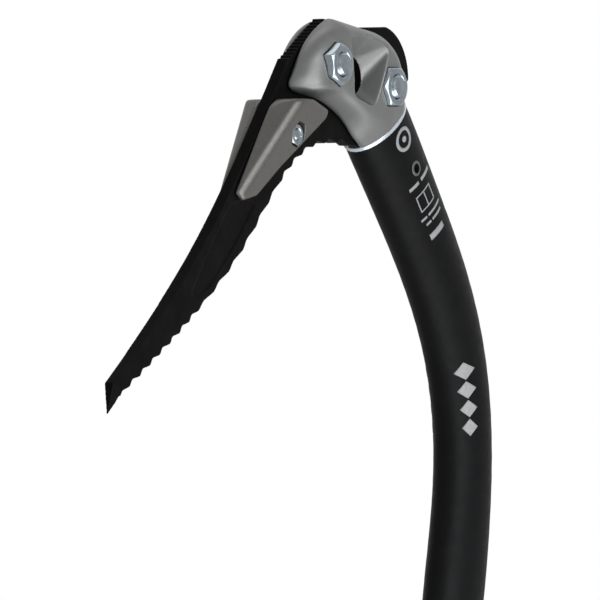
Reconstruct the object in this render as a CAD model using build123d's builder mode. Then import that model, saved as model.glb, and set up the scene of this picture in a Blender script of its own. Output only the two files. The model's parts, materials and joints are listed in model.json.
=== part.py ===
from build123d import *
import os
from math import cos, radians, sin, tan

# Leashless technical ice axe, in millimetres.
# The origin is the centre of the clip hole in the head, on the tool's middle plane.
# The pick points to -X, the handle hangs down to -Z, and Y runs across the tool.
# The nuts are on the left side, at -Y. Side outlines are drawn in X and Z on Plane.XZ,
# whose offset grows towards the left side.

# ---- Driving dimensions -------------------------------------------------------------
# Head
pick_thickness = 4.6
clip_hole_radius = 6.75
pick_bolt_spacing = 35.4
pick_bolt_line_tilt = -10.7
# the head's thin edge, the turn of its sides and its crown, from the middle plane
left_widths = (3.4, 9.0, 12.2)
right_widths = (3.4, 7.0, 9.2)

# M8 pick bolts and nuts
m8_radius = 4.0
m8_across_flats = 13.0
m8_head_radius = 6.5
m8_head_height = 3.6
m8_head_seat = 4.0       # distance of the head's seat from the middle plane
m8_socket = 5.0          # across the flats of the hex key
m8_nut_height = 6.3
m8_nut_seat = 7.4
m8_end = 14.7
front_nut_turn = 36.6
rear_nut_turn = 1.0

# M4 weight bolt and nut
m4_radius = 2.0
m4_across_flats = 7.0
m4_head_height = 2.8
m4_nut_height = 3.2
m4_seat = 5.0
m4_end = 8.3
weight_bolt_x = -37.8
weight_bolt_z = -21.0
weight_nut_turn = 46.0

# Shaft
neck_x = 23.0
neck_z = -14.9
neck_tilt = 37.8         # lean of the shaft at the head, from the vertical
handle_x = 76.3
handle_z = -183.0
handle_lean = 10.0       # lean of the straight handle, from the vertical
tube_wall = 1.6
tube_fore_aft = [31.5, 30.4, 29.3, 28.7, 27.6, 28.2, 29.6]
tube_across = [20.0, 19.6, 19.0, 18.3, 18.0, 18.0, 18.0]
neck_run = 8.0           # how far the neck keeps the shaft's section above the collar
collar_height = 1.5
collar_proud = 0.3
stub_length = 28.0
spacer_rise = 0.2
head_pin_radius = 2.75
head_pin_depth = 20.6

# Handle, all measured down the handle from its top
tube_end = 240.0
grip_top = 112.0
grip_bottom = 234.0
grip_skin = 1.9
finger_rest_top = 78.0
finger_rest_height = 24.0
flange_height = 4.0
hand_rest_height = 15.0
hand_rest_travel = 12.0
spike_eye_depth = 284.0
spike_tip_depth = 306.0
spike_eye_radius = 6.0
spike_width = 20.0
spike_thickness = 5.0

# Clearances
bolt_clearance = 0.2
thread_clearance = 0.02
pocket_clearance = 0.3
weight_pocket_clearance = 0.7
slide_clearance = 0.3
bond_line = 0.05

# ---- Worked out ---------------------------------------------------------------------
half_pick = pick_thickness / 2
handle_width = tube_fore_aft[-1]
handle_depth = tube_across[-1]
flange_bottom = tube_end + flange_height
through = 60.0           # longer than any thickness that a cut has to pass

tilt = radians(pick_bolt_line_tilt)
rear_bolt = (pick_bolt_spacing / 2 * cos(tilt), pick_bolt_spacing / 2 * sin(tilt))
front_bolt = (-rear_bolt[0], -rear_bolt[1])
weight_bolt_place = (weight_bolt_x, weight_bolt_z)

# The neck plane closes the top of the shaft, and the handle plane tops the straight handle.
neck = Plane(
    origin=(neck_x, 0, neck_z),
    x_dir=(cos(radians(neck_tilt)), 0, sin(radians(neck_tilt))),
    z_dir=(-sin(radians(neck_tilt)), 0, cos(radians(neck_tilt))),
)
handle = Plane(
    origin=(handle_x, 0, handle_z),
    x_dir=(cos(radians(handle_lean)), 0, -sin(radians(handle_lean))),
    z_dir=(sin(radians(handle_lean)), 0, cos(radians(handle_lean))),
)
# The same two frames seen from the left side: x points back, y points up the shaft.
neck_side = Plane(origin=neck.origin, x_dir=neck.x_dir, z_dir=(0, -1, 0))
handle_side = Plane(origin=handle.origin, x_dir=handle.x_dir, z_dir=(0, -1, 0))


def plane_through(first, second, third):
    """The plane through three points, facing away from the middle plane."""
    corner = Vector(*first)
    normal = (Vector(*second) - corner).cross(Vector(*third) - corner)
    facing_out = normal if normal.Y * first[1] > 0 else normal * -1
    return Plane(origin=corner, z_dir=facing_out)


def hex_bolt(place, turn, radius, across_flats, head_height, seat, end):
    """A hex bolt across the tool, with its head on the right and its end on the left."""
    head_plane = Plane.XZ.offset(-seat)
    corner_radius = across_flats / 2 / cos(radians(30))
    crown_radius = across_flats / 2 * 0.95
    with BuildPart() as bolt:
        with BuildSketch(head_plane):
            with Locations(place):
                RegularPolygon(corner_radius, 6, rotation=turn)
        extrude(amount=-head_height)
        cone_centre = (place[0], seat + head_height / 2, place[1])
        with Locations(Location(cone_centre, (-90, 0, 0))):
            Cone(
                crown_radius + head_height / tan(radians(30)),
                crown_radius,
                head_height,
                mode=Mode.INTERSECT,
            )
        with BuildSketch(head_plane):
            with Locations(place):
                Circle(radius)
        extrude(amount=seat + end)
        chamfer(bolt.edges().filter_by(GeomType.CIRCLE).sort_by(Axis.Y)[0], radius * 0.15)
    return bolt.part


def hex_nut(place, turn, radius, across_flats, height, seat):
    """A hex nut on the left side, with its outer corners turned down."""
    corner_radius = across_flats / 2 / cos(radians(30))
    crown_radius = across_flats / 2 * 0.95
    with BuildPart() as nut:
        with BuildSketch(Plane.XZ.offset(seat)):
            with Locations(place):
                RegularPolygon(corner_radius, 6, rotation=turn)
        extrude(amount=height)
        cone_centre = (place[0], -seat - height / 2, place[1])
        with Locations(Location(cone_centre, (90, 0, 0))):
            Cone(
                crown_radius + height / tan(radians(30)),
                crown_radius,
                height,
                mode=Mode.INTERSECT,
            )
        with BuildSketch(Plane.XZ.offset(seat)):
            with Locations(place):
                Circle(radius + thread_clearance)
        extrude(amount=height, mode=Mode.SUBTRACT)
    return nut.part


def socket_bolt(place, turn, radius, head_radius, head_height, socket, seat, end):
    """A low-headed socket bolt across the tool, with its head on the right."""
    with BuildPart() as bolt:
        with BuildSketch(Plane.XZ.offset(-seat)):
            with Locations(place):
                Circle(head_radius)
        extrude(amount=-head_height)
        chamfer(bolt.edges().filter_by(GeomType.CIRCLE).sort_by(Axis.Y)[-1], head_height * 0.2)
        with BuildSketch(Plane.XZ.offset(-seat - head_height)):
            with Locations(place):
                RegularPolygon(socket / 2 / cos(radians(30)), 6, rotation=turn)
        extrude(amount=head_height * 0.75, mode=Mode.SUBTRACT)
        with BuildSketch(Plane.XZ.offset(-seat)):
            with Locations(place):
                Circle(radius)
        extrude(amount=seat + end)
        chamfer(bolt.edges().filter_by(GeomType.CIRCLE).sort_by(Axis.Y)[0], radius * 0.15)
    return bolt.part


os.makedirs("parts", exist_ok=True)

# ---- Pick ---------------------------------------------------------------------------
# The tips of the lower teeth lie on one smooth line, in three runs of teeth.
tooth_line = Spline(
    (-128.4, -105.4), (-88.9, -80.8), (-61.8, -60.0), (-38.3, -36.6), (-20.4, -25.3),
    (-6.1, -23.1), (4.0, -23.8),
)
# each run starts at a point of the line, and has a count and a depth of teeth
tooth_runs = [(-128.4, -105.4, 7, 1.2), (-88.9, -80.8, 6, 1.0), (-38.3, -36.6, 6, 1.3)]
# a tooth's shape: shares of its pitch, and how deep the notch is there
tooth_shape = [(0.0, 0.0), (0.13, 0.28), (0.25, 0.72), (0.36, 1.0), (0.46, 1.0), (0.74, 0.45)]


def tooth_points(start, end, count, depth):
    """Points of a run of teeth: each tip, its steep flank, its notch and the slope after it."""
    points = []
    pitch = (end - start) / count
    for number in range(count):
        for share, rise in tooth_shape:
            at = start + (number + share) * pitch
            tangent = tooth_line % at
            inward = Vector(-tangent.Y, tangent.X)
            point = tooth_line @ at + inward * depth * rise
            points.append((point.X, point.Y))
    return points


run_starts = [tooth_line.param_at_point(Vector(x, z)) for x, z, count, depth in tooth_runs]
teeth = []
for run, (x, z, count, depth) in enumerate(tooth_runs):
    run_end = run_starts[run + 1] if run + 1 < len(tooth_runs) else 1.0
    teeth += tooth_points(run_starts[run], run_end, count, depth)

beak_tip = (-139.1, -114.6)
beak_top = (-137.9, -104.1)
beak_belly = (-135.0, -110.4)
beak_heel = (-132.5, -106.7)
saw_start = Vector(-34.5, 5.0)
saw_end = Vector(-12.8, 19.4)
saw_count = 12
saw_depth = 0.8

with BuildPart() as pick:
    with BuildSketch(Plane.XZ):
        with BuildLine():
            Polyline(beak_top, beak_tip, beak_belly, beak_heel, *teeth, (4.0, -23.8))
            Polyline((4.0, -23.8), (10.9, -23.8), (33.4, -6.35), (40.8, -1.9), (42.6, 0.2))
            ThreePointArc((42.6, 0.2), (38.2, 12.2), (27.8, 18.1))
            Polyline((27.8, 18.1), (9.4, 17.2), (saw_end.X, saw_end.Y))
            for number in range(saw_count):
                saw_step = (saw_start - saw_end) / saw_count
                saw_tip = saw_end + saw_step * number
                saw_in = Vector(-saw_step.Y, saw_step.X).normalized() * saw_depth
                saw_foot = saw_tip + saw_step * 0.35 + saw_in
                next_tip = saw_tip + saw_step
                Polyline(
                    (saw_tip.X, saw_tip.Y), (saw_foot.X, saw_foot.Y), (next_tip.X, next_tip.Y)
                )
            Spline(
                (saw_start.X, saw_start.Y), (-43.7, -7.6), (-61.1, -30.1), (-87.6, -60.5),
                (-112.7, -83.7), beak_top,
            )
        make_face()
        with Locations(front_bolt, rear_bolt):
            Circle(m8_radius + bolt_clearance, mode=Mode.SUBTRACT)
        with Locations(weight_bolt_place):
            Circle(m4_radius + bolt_clearance, mode=Mode.SUBTRACT)
        Circle(clip_hole_radius, mode=Mode.SUBTRACT)
    extrude(amount=half_pick, both=True)
    # the blade thins towards its point
    with BuildSketch(Plane.XY.offset(-120)):
        with BuildLine():
            Polyline(
                (50, half_pick), (-95, half_pick), (-143, 1.7), (-143, -1.7),
                (-95, -half_pick), (50, -half_pick), close=True,
            )
        make_face()
    extrude(amount=150, mode=Mode.INTERSECT)
    # the beak is bevelled on both sides down to its point
    with BuildSketch(Plane.YZ.offset(-145)):
        for side in (-1, 1):
            with BuildLine():
                Polyline(
                    (side * 1.9, -103.6), (side * 6.0, -103.6), (side * 6.0, -117.0),
                    (side * 0.2, -117.0), (side * 0.2, -114.2), close=True,
                )
            make_face()
    extrude(amount=11.2, mode=Mode.SUBTRACT)
    # a shallow panel is sunk in each side
    for side in (-1, 1):
        with BuildSketch(Plane.XZ.offset(side * half_pick)):
            with BuildLine():
                FilletPolyline(
                    (-54.0, -43.6), (-62.5, -43.5), (-69.0, -44.9), (-73.5, -49.0), (-83.0, -60.9),
                    (-94.3, -75.8), (-87.5, -75.4), (-81.5, -72.0), (-68.0, -59.3),
                    radius=1.2, close=True,
                )
            make_face()
        extrude(amount=-side * 0.4, mode=Mode.SUBTRACT)
pick.part.label = "pick"
export_step(pick.part, "parts/pick.step")

# ---- Pick weights -------------------------------------------------------------------
weight_outline = [
    (-43.6, -9.4), (-47.2, -11.8), (-49.8, -15.1), (-68.2, -41.2), (-65.0, -43.8), (-56.5, -42.2),
    (-44.5, -32.4), (-20.0, -15.3), (-19.5, -12.4), (-32.0, -9.3),
]
weight_crown = 11.0
for side_name, side in (("left", 1), ("right", -1)):
    with BuildPart() as pick_weight:
        with BuildSketch(Plane.XZ.offset(side * half_pick)):
            with BuildLine():
                FilletPolyline(*weight_outline, radius=1.5, close=True)
            make_face()
        extrude(amount=side * (weight_crown - half_pick))
        # outer face, thinning towards the point of the pick
        outer_face = plane_through(
            (-42.0, -side * 10.4, -12.0), (-66.0, -side * 4.2, -41.0), (-24.0, -side * 9.0, -14.5)
        )
        split(bisect_by=outer_face, keep=Keep.BOTTOM)
        # front face, falling from the ridge to the top edge of the pick
        front_face = plane_through(
            (-42.0, -side * 10.4, -12.0), (-66.0, -side * 4.2, -41.0), (-54.5, -side * 3.0, -22.0)
        )
        split(bisect_by=front_face, keep=Keep.BOTTOM)
        with BuildSketch(Plane.XZ.offset(side * m4_seat)):
            with Locations(weight_bolt_place):
                RegularPolygon(
                    m4_across_flats / 2 / cos(radians(30)) + weight_pocket_clearance, 6,
                    rotation=weight_nut_turn,
                )
        extrude(amount=side * through, mode=Mode.SUBTRACT)
        with BuildSketch(Plane.XZ):
            with Locations(weight_bolt_place):
                Circle(m4_radius + bolt_clearance)
        extrude(amount=side * through, mode=Mode.SUBTRACT)
    pick_weight.part.label = f"{side_name}_pick_weight"
    export_step(pick_weight.part, f"parts/{side_name}_pick_weight.step")

# ---- Head cheeks --------------------------------------------------------------------
# Each cheek is a forging that swells from a thin lip to a flat crown around the bolts.
# All outlines run from the front lower corner over the top to the neck and back.
lip_outline = [
    (-35.6, -5.8), (-33.6, 3.4), (-28.4, 10.6), (-21.0, 16.4), (-12.3, 20.0), (4.0, 17.4),
    (20.0, 14.8), (29.5, 5.5), (36.3, -7.9), (12.9, -26.1), (4.5, -21.8), (-4.5, -14.6),
    (-18.0, -9.0),
]
left_shoulder = [
    (-29.4, -4.0), (-28.4, 3.6), (-25.2, 9.6), (-19.0, 14.8), (-11.6, 17.6), (4.0, 15.8),
    (17.5, 13.0), (26.5, 5.0), (30.0, -12.8), (19.2, -21.2), (7.5, -18.3), (-3.5, -12.6),
    (-16.0, -7.2),
]
left_crown = [
    (-25.6, -2.0), (-26.6, 4.0), (-24.6, 8.2), (-18.6, 12.8), (-11.0, 14.6), (4.0, 13.4),
    (15.0, 10.5), (22.5, 3.5), (25.0, -8.0), (14.0, -14.5), (5.5, -13.5), (-4.0, -10.0),
    (-14.5, -5.0),
]
# The right side is flatter at the front, so only these corners differ.
right_shoulder = [(-28.4, -4.0), (-25.6, 3.0), (-21.0, 9.6), (-16.0, 13.8), (-10.6, 16.6)]
right_shoulder += left_shoulder[5:]
right_crown = [(-24.0, -1.0), (-22.0, 4.0), (-18.4, 8.6), (-14.4, 11.8), (-10.0, 12.8)]
right_crown += [(4.0, 12.8)] + left_crown[6:]
# The scoop opens from the rim of the clip hole to four corners, blunted by scoop_blunt.
scoop_corners = [Vector(-10.2, 13.9), Vector(14.4, 9.8), Vector(5.0, -10.6), Vector(-7.2, -7.4)]
scoop_blunt = 1.4
scoop_rim_radius = clip_hole_radius + 0.15
scoop_mouth = []
scoop_rim = []
for number, corner in enumerate(scoop_corners):
    to_last = (scoop_corners[number - 1] - corner).normalized()
    to_next = (scoop_corners[(number + 1) % 4] - corner).normalized()
    out_of_corner = (to_last + to_next).normalized() * -1
    for along in (to_last, to_next):
        blunted = corner + along * scoop_blunt
        scoop_mouth.append((blunted.X, blunted.Y))
        # the rim's own corner lies between the facet's outward direction and the corner's
        out_of_facet = Vector(-along.Y, along.X) * (-1 if along is to_last else 1)
        halfway = (out_of_corner + out_of_facet).normalized()
        rim_corner = halfway * (scoop_rim_radius / halfway.dot(out_of_corner))
        scoop_rim.append((rim_corner.X, rim_corner.Y))
cheek_sides = (
    ("left", 1, left_widths, left_shoulder, left_crown, m8_nut_seat, 5.0),
    ("right", -1, right_widths, right_shoulder, right_crown, m8_head_seat, 4.4),
)

for side_name, side, widths, shoulder_outline, crown_outline, m8_seat, scoop_depth in cheek_sides:
    with BuildPart() as cheek:
        for width, outline in zip(widths, (lip_outline, shoulder_outline, crown_outline)):
            with BuildSketch(Plane.XZ.offset(side * width)):
                with BuildLine():
                    FilletPolyline(*outline, radius=1.5, close=True)
                make_face()
        loft(ruled=True)
        with BuildSketch(Plane.XZ.offset(side * half_pick)):
            with BuildLine():
                FilletPolyline(*lip_outline, radius=1.5, close=True)
            make_face()
        extrude(amount=side * (widths[0] - half_pick))
        # the neck is as wide as the shaft and runs up into the cheek
        with BuildSketch(neck):
            Ellipse(tube_fore_aft[0] / 2, tube_across[0] / 2)
        extrude(amount=neck_run)
        split(bisect_by=neck, keep=Keep.TOP)
        # the stub reaches down inside the shaft
        with BuildSketch(neck):
            Ellipse(tube_fore_aft[0] / 2 - 2.35, tube_across[0] / 2 - 2.1)
        extrude(amount=-stub_length)
        split(bisect_by=Plane.XZ.offset(side * half_pick), keep=Keep.TOP if side > 0 else Keep.BOTTOM)
        for place, turn in ((front_bolt, front_nut_turn), (rear_bolt, rear_nut_turn)):
            with BuildSketch(Plane.XZ.offset(side * m8_seat)):
                with Locations(place):
                    if side_name == "left":
                        RegularPolygon(
                            m8_across_flats / 2 / cos(radians(30)) + pocket_clearance, 6,
                            rotation=turn,
                        )
                    else:
                        Circle(m8_head_radius + pocket_clearance)
            extrude(amount=side * through, mode=Mode.SUBTRACT)
        for width, outline in ((scoop_depth, scoop_rim), (widths[2] + 0.1, scoop_mouth)):
            with BuildSketch(Plane.XZ.offset(side * width)):
                with BuildLine():
                    Polyline(*outline, close=True)
                make_face()
        loft(ruled=True, mode=Mode.SUBTRACT)
        with BuildSketch(Plane.XZ):
            with Locations(front_bolt, rear_bolt):
                Circle(m8_radius + bolt_clearance)
            Circle(clip_hole_radius)
        extrude(amount=side * through, mode=Mode.SUBTRACT)
        with BuildSketch(neck_side):
            with Locations((0, -head_pin_depth)):
                Circle(head_pin_radius + bond_line)
        extrude(amount=side * through, mode=Mode.SUBTRACT)
    cheek.part.label = f"{side_name}_cheek"
    export_step(cheek.part, f"parts/{side_name}_cheek.step")

# The spacer fills the slot between the two stubs, under the back of the pick.
with BuildPart() as cheek_spacer:
    with BuildSketch(neck_side):
        with Locations((0, spacer_rise)):
            Rectangle(25.0, stub_length + spacer_rise, align=(Align.CENTER, Align.MAX))
        with Locations((0, -head_pin_depth)):
            Circle(head_pin_radius + bond_line, mode=Mode.SUBTRACT)
    extrude(amount=half_pick, both=True)
cheek_spacer.part.label = "cheek_spacer"
export_step(cheek_spacer.part, "parts/cheek_spacer.step")

# ---- Fasteners of the head ----------------------------------------------------------
for end_name, place, turn in (
    ("front", front_bolt, front_nut_turn), ("rear", rear_bolt, rear_nut_turn)
):
    pick_bolt = socket_bolt(
        place, turn, m8_radius, m8_head_radius, m8_head_height, m8_socket, m8_head_seat, m8_end
    )
    pick_bolt.label = f"{end_name}_pick_bolt"
    export_step(pick_bolt, f"parts/{end_name}_pick_bolt.step")
    pick_nut = hex_nut(place, turn, m8_radius, m8_across_flats, m8_nut_height, m8_nut_seat)
    pick_nut.label = f"{end_name}_pick_nut"
    export_step(pick_nut, f"parts/{end_name}_pick_nut.step")

weight_bolt = hex_bolt(
    weight_bolt_place, weight_nut_turn, m4_radius, m4_across_flats, m4_head_height, m4_seat, m4_end
)
weight_bolt.label = "weight_bolt"
export_step(weight_bolt, "parts/weight_bolt.step")
weight_nut = hex_nut(
    weight_bolt_place, weight_nut_turn, m4_radius, m4_across_flats, m4_nut_height, m4_seat
)
weight_nut.label = "weight_nut"
export_step(weight_nut, "parts/weight_nut.step")

# ---- Shaft --------------------------------------------------------------------------
centreline = Spline(
    (neck_x, 0, neck_z), (57.5, 0, -59.5), (76.0, 0, -93.5), (82.7, 0, -130.0),
    (handle_x, 0, handle_z),
    tangents=[neck.z_dir * -1, handle.z_dir * -1],
)
station_count = len(tube_fore_aft)

with BuildPart() as shaft_tube:
    for inset, mode in ((0.0, Mode.ADD), (tube_wall, Mode.SUBTRACT)):
        for station in range(station_count):
            at = station / (station_count - 1)
            up_the_shaft = (centreline % at) * -1
            back = Vector(0, 1, 0).cross(up_the_shaft)
            with BuildSketch(Plane(origin=centreline @ at, x_dir=back, z_dir=up_the_shaft)):
                Ellipse(tube_fore_aft[station] / 2 - inset, tube_across[station] / 2 - inset)
        loft(mode=mode)
        with BuildSketch(handle):
            Ellipse(handle_width / 2 - inset, handle_depth / 2 - inset)
        extrude(amount=-tube_end, mode=mode)
    split(bisect_by=neck.offset(-collar_height), keep=Keep.BOTTOM)
    with BuildSketch(neck_side):
        with Locations((0, -head_pin_depth)):
            Circle(head_pin_radius + bond_line)
    extrude(amount=through, both=True, mode=Mode.SUBTRACT)
    with BuildSketch(handle_side):
        with Locations((-5, 12 - tube_end), (5, 22 - tube_end)):
            Circle(2.0 + bond_line)
    extrude(amount=through, both=True, mode=Mode.SUBTRACT)
shaft_tube.part.label = "shaft_tube"
export_step(shaft_tube.part, "parts/shaft_tube.step")

with BuildPart() as shaft_collar:
    with BuildSketch(neck):
        Ellipse(tube_fore_aft[0] / 2 + collar_proud, tube_across[0] / 2 + collar_proud)
        Ellipse(tube_fore_aft[0] / 2 - 2.2, tube_across[0] / 2 - 1.95, mode=Mode.SUBTRACT)
    extrude(amount=-collar_height)
shaft_collar.part.label = "shaft_collar"
export_step(shaft_collar.part, "parts/shaft_collar.step")

with BuildPart() as head_pin:
    with BuildSketch(neck_side):
        with Locations((0, -head_pin_depth)):
            Circle(head_pin_radius)
    extrude(amount=tube_across[1] / 2 + 0.15, both=True)
    chamfer(head_pin.edges().filter_by(GeomType.CIRCLE), 0.3)
head_pin.part.label = "head_pin"
export_step(head_pin.part, "parts/head_pin.step")

# ---- Grip ---------------------------------------------------------------------------
grip_half_width = handle_width / 2 + grip_skin
grip_half_depth = handle_depth / 2 + grip_skin
finger_pitch = 27.0
finger_scallop_radius = 30.0
with BuildPart() as grip_sleeve:
    with BuildSketch(handle.offset(-grip_top)):
        Ellipse(grip_half_width, grip_half_depth)
    extrude(amount=grip_top - grip_bottom)
    chamfer(grip_sleeve.edges(), 1.0)
    with BuildSketch(handle_side):
        for number in range(4):
            middle = -grip_top - 20.5 - number * finger_pitch
            with Locations((-grip_half_width - finger_scallop_radius + 1.2, middle)):
                Circle(finger_scallop_radius)
    extrude(amount=through, both=True, mode=Mode.SUBTRACT)
    with BuildSketch(handle.offset(-grip_top)):
        Ellipse(handle_width / 2 + bond_line, handle_depth / 2 + bond_line)
    extrude(amount=grip_top - grip_bottom, mode=Mode.SUBTRACT)
grip_sleeve.part.label = "grip_sleeve"
export_step(grip_sleeve.part, "parts/grip_sleeve.step")

# ---- Sliding finger rest ------------------------------------------------------------
band_wall = 3.2
rest_bottom = finger_rest_top + finger_rest_height
bore_half_width = handle_width / 2 + slide_clearance
bore_half_depth = handle_depth / 2 + slide_clearance
pivot = (24.5, -finger_rest_top - 7.0)
lever_half_width = 4.0
slot_half_width = 4.3
pad_face = 17.9          # distance of the pad's outer face behind the shaft's centreline
lever_pin_radius = 1.5

with BuildPart() as finger_rest:
    with BuildSketch(handle.offset(-finger_rest_top)):
        Ellipse(bore_half_width + band_wall, bore_half_depth + band_wall)
    extrude(amount=-finger_rest_height)
    # the trigger reaches forward and down over the index finger
    with BuildSketch(handle_side):
        with BuildLine():
            Polyline((-14.0, -rest_bottom), (-14.0, -finger_rest_top - 1.0))
            Spline(
                (-14.0, -finger_rest_top - 1.0), (-30.0, -finger_rest_top - 4.5),
                (-43.0, -finger_rest_top - 17.0),
            )
            ThreePointArc(
                (-43.0, -finger_rest_top - 17.0), (-43.2, -finger_rest_top - 21.4),
                (-38.6, -finger_rest_top - 20.6),
            )
            ThreePointArc(
                (-38.6, -finger_rest_top - 20.6), (-28.5, -finger_rest_top - 12.5), (-18.2, -rest_bottom)
            )
            Line((-18.2, -rest_bottom), (-14.0, -rest_bottom))
        make_face()
    extrude(amount=7.0, both=True)
    # the housing behind the band carries the lever's pivot
    with BuildSketch(handle_side):
        with BuildLine():
            FilletPolyline(
                (13.0, -finger_rest_top - 0.5), (30.5, -finger_rest_top - 0.5),
                (30.5, -finger_rest_top - 13.0), (18.0, -rest_bottom + 2.0), (13.0, -rest_bottom + 2.0),
                radius=2.0, close=True,
            )
        make_face()
    extrude(amount=8.2, both=True)
    fillet(finger_rest.edges().filter_by(GeomType.LINE).filter_by(Axis.Y).group_by(Axis.X)[0], 0.8)
    with BuildSketch(handle.offset(-finger_rest_top)):
        Ellipse(bore_half_width, bore_half_depth)
    extrude(amount=-finger_rest_height, mode=Mode.SUBTRACT)
    # the lever's slot, and the window that holds the pad
    with BuildSketch(handle_side):
        with Locations((pad_face + 0.1, -finger_rest_top + 5.0)):
            Rectangle(30.0, finger_rest_height + 10.0, align=(Align.MIN, Align.MAX))
        with Locations((12.0, -finger_rest_top - 2.0)):
            Rectangle(8.0, 12.0, align=(Align.MIN, Align.MAX))
    extrude(amount=slot_half_width, both=True, mode=Mode.SUBTRACT)
    with BuildSketch(handle_side):
        with Locations(pivot):
            Circle(lever_pin_radius)
    extrude(amount=through, both=True, mode=Mode.SUBTRACT)
finger_rest.part.label = "finger_rest"
export_step(finger_rest.part, "parts/finger_rest.step")

with BuildPart() as clamp_pad:
    with BuildSketch(handle.offset(-finger_rest_top - 2.3)):
        Ellipse(pad_face, pad_face - bore_half_width + bore_half_depth)
        Ellipse(bore_half_width, bore_half_depth, mode=Mode.SUBTRACT)
        with Locations((bore_half_width, 0)):
            Rectangle(10.0, 2 * slot_half_width - 0.4, mode=Mode.INTERSECT)
    extrude(amount=-11.4)
clamp_pad.part.label = "clamp_pad"
export_step(clamp_pad.part, "parts/clamp_pad.step")

lever_length = 25.0
with BuildPart() as clamp_lever:
    with BuildSketch(handle_side):
        with Locations(pivot):
            Circle(4.6)
        # the cam lobe faces the pad while the lever lies closed
        with Locations((pivot[0] - 2.2, pivot[1])):
            Circle(4.0)
        with BuildLine():
            Polyline((pivot[0] - 1.0, pivot[1]), (pivot[0] + 4.6, pivot[1]))
            Spline(
                (pivot[0] + 4.6, pivot[1]), (pivot[0] + 4.4, pivot[1] - lever_length * 0.5),
                (pivot[0] + 7.4, pivot[1] - lever_length),
            )
            Polyline(
                (pivot[0] + 7.4, pivot[1] - lever_length), (pivot[0] + 4.6, pivot[1] - lever_length)
            )
            Spline(
                (pivot[0] + 4.6, pivot[1] - lever_length), (pivot[0] + 0.9, pivot[1] - lever_length * 0.5),
                (pivot[0] - 1.0, pivot[1]),
            )
        make_face()
        with Locations(pivot):
            Circle(lever_pin_radius + bond_line, mode=Mode.SUBTRACT)
    extrude(amount=lever_half_width, both=True)
clamp_lever.part.label = "clamp_lever"
export_step(clamp_lever.part, "parts/clamp_lever.step")

with BuildPart() as lever_pin:
    with BuildSketch(handle_side):
        with Locations(pivot):
            Circle(lever_pin_radius)
    extrude(amount=8.2, both=True)
lever_pin.part.label = "lever_pin"
export_step(lever_pin.part, "parts/lever_pin.step")

# ---- Foot of the handle -------------------------------------------------------------
plug_top = tube_end - 32.0
tang_top = tube_end - 28.0
plug_pin_radius = 2.0
plug_pin_places = [(-5, 12 - tube_end), (5, 22 - tube_end)]
screw_radius = 2.0
screw_depth = flange_bottom + 0.5 + hand_rest_height / 2

with BuildPart() as handle_plug:
    with BuildSketch(handle.offset(-plug_top)):
        Ellipse(handle_width / 2 - tube_wall - bond_line, handle_depth / 2 - tube_wall - bond_line)
    extrude(amount=plug_top - tube_end)
    with BuildSketch(handle.offset(-tube_end)):
        Ellipse(handle_width / 2 + 0.6, handle_depth / 2 + 0.6)
    extrude(amount=-flange_height)
    chamfer(handle_plug.edges().sort_by(Axis(handle.origin, handle.z_dir))[0], 0.8)
    with BuildSketch(handle.offset(-tang_top)):
        Rectangle(spike_width, spike_thickness)
    extrude(amount=tang_top - flange_bottom, mode=Mode.SUBTRACT)
    with BuildSketch(handle_side):
        with Locations(*plug_pin_places):
            Circle(plug_pin_radius + bond_line)
    extrude(amount=through, both=True, mode=Mode.SUBTRACT)
handle_plug.part.label = "handle_plug"
export_step(handle_plug.part, "parts/handle_plug.step")

with BuildPart() as spike:
    with BuildSketch(handle_side):
        with BuildLine():
            Polyline(
                (-spike_width / 2, -tang_top), (spike_width / 2, -tang_top),
                (spike_width / 2, -spike_eye_depth), (-2.0, -spike_tip_depth),
                (-spike_width / 2, -spike_eye_depth - 5.0), close=True,
            )
        make_face()
        with Locations((0, -spike_eye_depth)):
            Circle(spike_eye_radius, mode=Mode.SUBTRACT)
        with Locations(*plug_pin_places):
            Circle(plug_pin_radius + bond_line, mode=Mode.SUBTRACT)
        # the hand rest's screw slides in this slot
        with Locations((0, -screw_depth - hand_rest_travel / 2)):
            SlotCenterToCenter(
                hand_rest_travel, 2 * (screw_radius + slide_clearance), rotation=90,
                mode=Mode.SUBTRACT,
            )
    extrude(amount=spike_thickness / 2, both=True)
    # both sides of the point are ground to a blunt edge
    with BuildSketch(Plane(origin=handle.origin, x_dir=(0, 1, 0), z_dir=handle.x_dir)):
        with BuildLine():
            for side in (-1, 1):
                Polyline(
                    (side * spike_thickness / 2, spike_eye_depth + 8.0),
                    (side * 8.0, spike_eye_depth + 8.0),
                    (side * 8.0, spike_tip_depth + 1.0),
                    (side * 0.6, spike_tip_depth + 1.0),
                    (side * spike_thickness / 2, spike_eye_depth + 8.0),
                )
        make_face()
    extrude(amount=through, both=True, mode=Mode.SUBTRACT)
spike.part.label = "spike"
export_step(spike.part, "parts/spike.step")

with BuildPart() as plug_pins:
    with BuildSketch(handle_side):
        with Locations(*plug_pin_places):
            Circle(plug_pin_radius)
    extrude(amount=handle_depth / 2 - 1.4, both=True)
plug_pins.part.label = "plug_pins"
export_step(plug_pins.part, "parts/plug_pins.step")

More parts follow.
